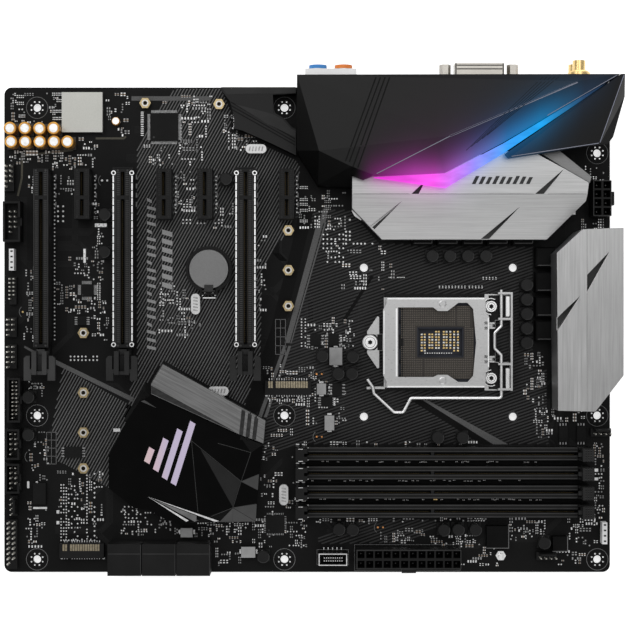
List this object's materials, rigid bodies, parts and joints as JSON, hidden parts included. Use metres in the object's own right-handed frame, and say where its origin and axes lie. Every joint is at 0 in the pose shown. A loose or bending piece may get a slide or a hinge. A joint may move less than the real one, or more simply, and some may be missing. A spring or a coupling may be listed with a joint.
{
  "type": "motherboard",
  "caption": "Full-size computer mainboard with a lever-clamped processor socket, latched memory and card slots, faceted rear cover with a light bar, and brushed heatsinks.",
  "frame": {"origin": "axis of the rear middle case hole, on the underside of the circuit board", "axes": "+X along the long side away from the expansion slots, +Y towards the rear connectors, +Z out of the component side"},
  "size_m": [0.3048, 0.2538, 0.0428],
  "materials": {
    "circuit_board": "satin",
    "slot_plastic": "moulded, fine texture",
    "cover_plastic": "fine matt texture",
    "gloss_black": "gloss",
    "nickel_steel": "nickel plated, satin",
    "brushed_aluminium": "brushed along its length",
    "dark_aluminium": "bead blasted, dark",
    "gold": "plated",
    "gold_can": "sleeve with bare top",
    "black_can": "satin",
    "chip_package": "moulded epoxy",
    "ferrite": "fine grain",
    "light_guide": "frosted, lit from inside",
    "crystal_can": "satin",
    "shield_can": "tinned",
    "white_plastic": "moulded",
    "jack_plastic": "moulded"
  },
  "bodies": {
    "board": {"pcb": "circuit_board", "cpu_backplate": "dark_aluminium", "underside_screws": "nickel_steel", "m2_standoffs": "gold", "socket_base": "slot_plastic", "socket_contacts": "ferrite", "socket_frame": "nickel_steel", "socket_screws": "nickel_steel", "x1_slots": "slot_plastic", "slot_shields": "nickel_steel", "vrm_heatsink_rear": "brushed_aluminium", "vrm_heatsink_side": "brushed_aluminium", "heatsink_bridge": "dark_aluminium", "io_cover": "cover_plastic", "io_cover_wing": "cover_plastic", "wireless_cover": "cover_plastic", "light_bar": "light_guide", "chipset_heatsink": "dark_aluminium", "chipset_bar": "dark_aluminium", "chipset_cover": "gloss_black", "battery_holder": "slot_plastic", "battery_clip": "nickel_steel", "battery": "nickel_steel", "board_power_socket": "slot_plastic", "cpu_power_socket": "slot_plastic", "drive_ports": "slot_plastic", "m2_sockets": "slot_plastic", "boxed_headers": "slot_plastic", "pin_headers": "slot_plastic", "fan_headers": "slot_plastic", "light_headers": "white_plastic", "front_usb_header": "shield_can", "power_chokes": "ferrite", "small_chokes": "ferrite", "capacitors": "black_can", "audio_capacitors": "gold_can", "crystals": "crystal_can", "chips": "chip_package", "audio_shield": "shield_can", "audio_jacks": "jack_plastic", "lan_usb_ports": "shield_can", "usb_ports": "shield_can", "video_ports": "shield_can", "antenna_connectors": "gold", "dimm_slot_1": "slot_plastic", "dimm_slot_2": "slot_plastic", "dimm_slot_3": "slot_plastic", "dimm_slot_4": "slot_plastic", "x16_slot_1": "slot_plastic", "x16_slot_2": "slot_plastic", "x16_slot_3": "slot_plastic"},
    "socket_lever": {"socket_lever": "nickel_steel"},
    "load_plate": {"load_plate": "nickel_steel"},
    "dimm_latch_1": {"dimm_latch_1": "slot_plastic"},
    "dimm_latch_2": {"dimm_latch_2": "slot_plastic"},
    "dimm_latch_3": {"dimm_latch_3": "slot_plastic"},
    "dimm_latch_4": {"dimm_latch_4": "slot_plastic"},
    "card_latch_1": {"card_latch_1": "slot_plastic"},
    "card_latch_2": {"card_latch_2": "slot_plastic"},
    "card_latch_3": {"card_latch_3": "slot_plastic"}
  },
  "joints": [
    {"name": "lever_hinge", "type": "hinge", "parent": "board", "child": "socket_lever", "pos_m": [0.10873, -0.11804, 0.0056], "axis": [0, 1, 0], "range_deg": [0, 130]},
    {"name": "load_plate_hinge", "type": "hinge", "parent": "board", "child": "load_plate", "pos_m": [0.10363, -0.11804, 0.0056], "axis": [0, 1, 0], "range_deg": [0, 104]},
    {"name": "dimm_latch_1_hinge", "type": "hinge", "parent": "board", "child": "dimm_latch_1", "pos_m": [0.14963, -0.17344, 0.0056], "axis": [0, 1, 0], "range_deg": [0, 25]},
    {"name": "dimm_latch_2_hinge", "type": "hinge", "parent": "board", "child": "dimm_latch_2", "pos_m": [0.14963, -0.18294, 0.0056], "axis": [0, 1, 0], "range_deg": [0, 25]},
    {"name": "dimm_latch_3_hinge", "type": "hinge", "parent": "board", "child": "dimm_latch_3", "pos_m": [0.14963, -0.19244, 0.0056], "axis": [0, 1, 0], "range_deg": [0, 25]},
    {"name": "dimm_latch_4_hinge", "type": "hinge", "parent": "board", "child": "dimm_latch_4", "pos_m": [0.14963, -0.20194, 0.0056], "axis": [0, 1, 0], "range_deg": [0, 25]},
    {"name": "card_latch_1_hinge", "type": "hinge", "parent": "board", "child": "card_latch_1", "pos_m": [-0.12065, -0.12354, 0.006], "axis": [1, 0, 0], "range_deg": [0, 20]},
    {"name": "card_latch_2_hinge", "type": "hinge", "parent": "board", "child": "card_latch_2", "pos_m": [-0.08001, -0.12354, 0.006], "axis": [1, 0, 0], "range_deg": [0, 20]},
    {"name": "card_latch_3_hinge", "type": "hinge", "parent": "board", "child": "card_latch_3", "pos_m": [-0.01905, -0.12354, 0.006], "axis": [1, 0, 0], "range_deg": [0, 20]}
  ],
  "couplings": [
    {"joint": "load_plate_hinge", "follows": "lever_hinge", "ratio": 0.8}
  ]
}
